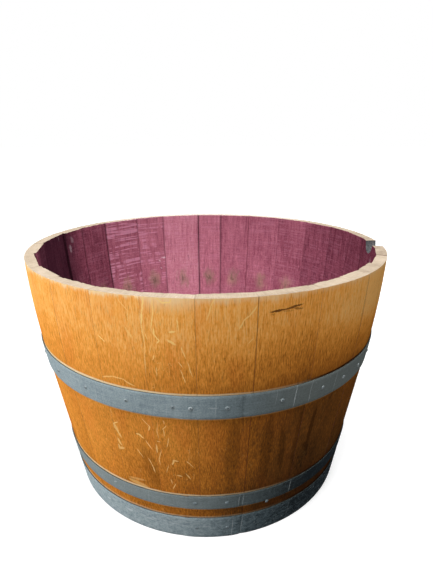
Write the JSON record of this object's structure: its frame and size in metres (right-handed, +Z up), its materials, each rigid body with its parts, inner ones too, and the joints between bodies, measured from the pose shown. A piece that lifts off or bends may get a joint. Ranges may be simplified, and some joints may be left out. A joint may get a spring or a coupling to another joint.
{
  "type": "wooden barrel planter",
  "caption": "Open-topped round floor planter made from half an oak wine barrel, with bowed staves, a coopered bottom and riveted steel hoops.",
  "frame": {"origin": "on the floor, on the axis of the barrel, in the plane of the stave ends that it stands on", "axes": "+Z up along the barrel's axis; -Y is the front of the picture; +X is its right, where the half bung hole is"},
  "size_m": [0.69, 0.69, 0.47],
  "materials": {
    "stave_oak": "honey varnish outside, wine-stained inside, raw sawn end grain at the rim",
    "head_oak": "raw oak, wine-stained on the upper face",
    "dowel_wood": "raw turned wood",
    "hoop_steel": "dull galvanised strip, lightly scratched",
    "fastener_steel": "galvanised, worn bright on the heads"
  },
  "bodies": {
    "root": {"stave_01": "stave_oak", "stave_02": "stave_oak", "stave_03": "stave_oak", "stave_04": "stave_oak", "stave_05": "stave_oak", "stave_06": "stave_oak", "stave_07": "stave_oak", "stave_08": "stave_oak", "stave_09": "stave_oak", "stave_10": "stave_oak", "stave_11": "stave_oak", "stave_12": "stave_oak", "stave_13": "stave_oak", "stave_14": "stave_oak", "stave_15": "stave_oak", "stave_16": "stave_oak", "stave_17": "stave_oak", "stave_18": "stave_oak", "stave_19": "stave_oak", "stave_20": "stave_oak", "stave_21": "stave_oak", "stave_22": "stave_oak", "stave_23": "stave_oak", "stave_24": "stave_oak", "stave_25": "stave_oak", "stave_26": "stave_oak", "stave_27": "stave_oak", "head_board_1": "head_oak", "head_board_2": "head_oak", "head_board_3": "head_oak", "head_board_4": "head_oak", "head_board_5": "head_oak", "head_board_6": "head_oak", "head_dowels": "dowel_wood", "bilge_hoop": "hoop_steel", "quarter_hoop": "hoop_steel", "chime_hoop": "hoop_steel", "bilge_hoop_rivets": "fastener_steel", "quarter_hoop_rivets": "fastener_steel", "chime_hoop_rivets": "fastener_steel", "bilge_hoop_nails": "fastener_steel", "quarter_hoop_nails": "fastener_steel"}
  },
  "joints": []
}
